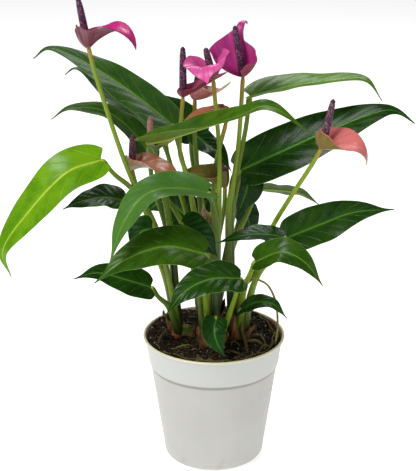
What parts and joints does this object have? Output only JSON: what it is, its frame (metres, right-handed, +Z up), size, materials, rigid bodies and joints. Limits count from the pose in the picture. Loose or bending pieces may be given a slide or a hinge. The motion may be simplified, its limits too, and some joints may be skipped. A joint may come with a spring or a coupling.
{
  "type": "potted anthurium",
  "caption": "Flowering houseplant with long dark leaves and cupped pink flowers on slim stalks, in a plain tapered nursery pot of off-white plastic.",
  "frame": {"origin": "middle of the pot's underside, on the surface that it stands on", "axes": "+Z up along the pot's axis; the side that the flowers face is -Y, and +X is to the right seen from there"},
  "size_m": [0.3378, 0.213, 0.4021],
  "materials": {
    "pot_plastic": "satin",
    "soil": "matte",
    "leaf": "gloss",
    "stem": "satin",
    "spathe": "gloss",
    "spathe_old": "satin",
    "spadix": "matte",
    "root": "matte"
  },
  "bodies": {
    "root": {"aerial_root": "root", "crown_back": "stem", "crown_front": "stem", "crown_left": "stem", "crown_right": "stem", "leaf_arching_front": "leaf", "leaf_back_hanging": "leaf", "leaf_back_right_dark": "leaf", "leaf_back_right_low": "leaf", "leaf_back_right_narrow": "leaf", "leaf_back_upper": "leaf", "leaf_front_crinkled": "leaf", "leaf_front_dark": "leaf", "leaf_front_left": "leaf", "leaf_front_pale": "leaf", "leaf_inner_centre": "leaf", "leaf_inner_left": "leaf", "leaf_left_drooping": "leaf", "leaf_left_lower": "leaf", "leaf_left_small": "leaf", "leaf_left_upper": "leaf", "leaf_low_front": "leaf", "leaf_low_left": "leaf", "leaf_low_right": "leaf", "leaf_right_broad": "leaf", "leaf_right_inner": "leaf", "leaf_right_large": "leaf", "leaf_right_lower": "leaf", "leaf_top_left": "leaf", "leaf_top_left_rear": "leaf", "leaf_top_right": "leaf", "pot": "pot_plastic", "soil": "soil", "spadix_bud": "spadix", "spadix_centre_rear": "spadix", "spadix_left_old": "spadix", "spadix_olive_centre": "spadix", "spadix_right": "spadix", "spadix_salmon_centre": "spadix", "spadix_salmon_left": "spadix", "spadix_tall_centre": "spadix", "spadix_tall_centre_left": "spadix", "spadix_tall_front": "spadix", "spadix_tall_left": "spadix", "spathe_bud": "spathe_old", "spathe_centre_rear": "spathe", "spathe_left_old": "spathe_old", "spathe_olive_centre": "spathe_old", "spathe_right": "spathe_old", "spathe_salmon_centre": "spathe_old", "spathe_salmon_left": "spathe_old", "spathe_tall_centre": "spathe", "spathe_tall_centre_left": "spathe", "spathe_tall_front": "spathe", "spathe_tall_left": "spathe"}
  },
  "joints": []
}
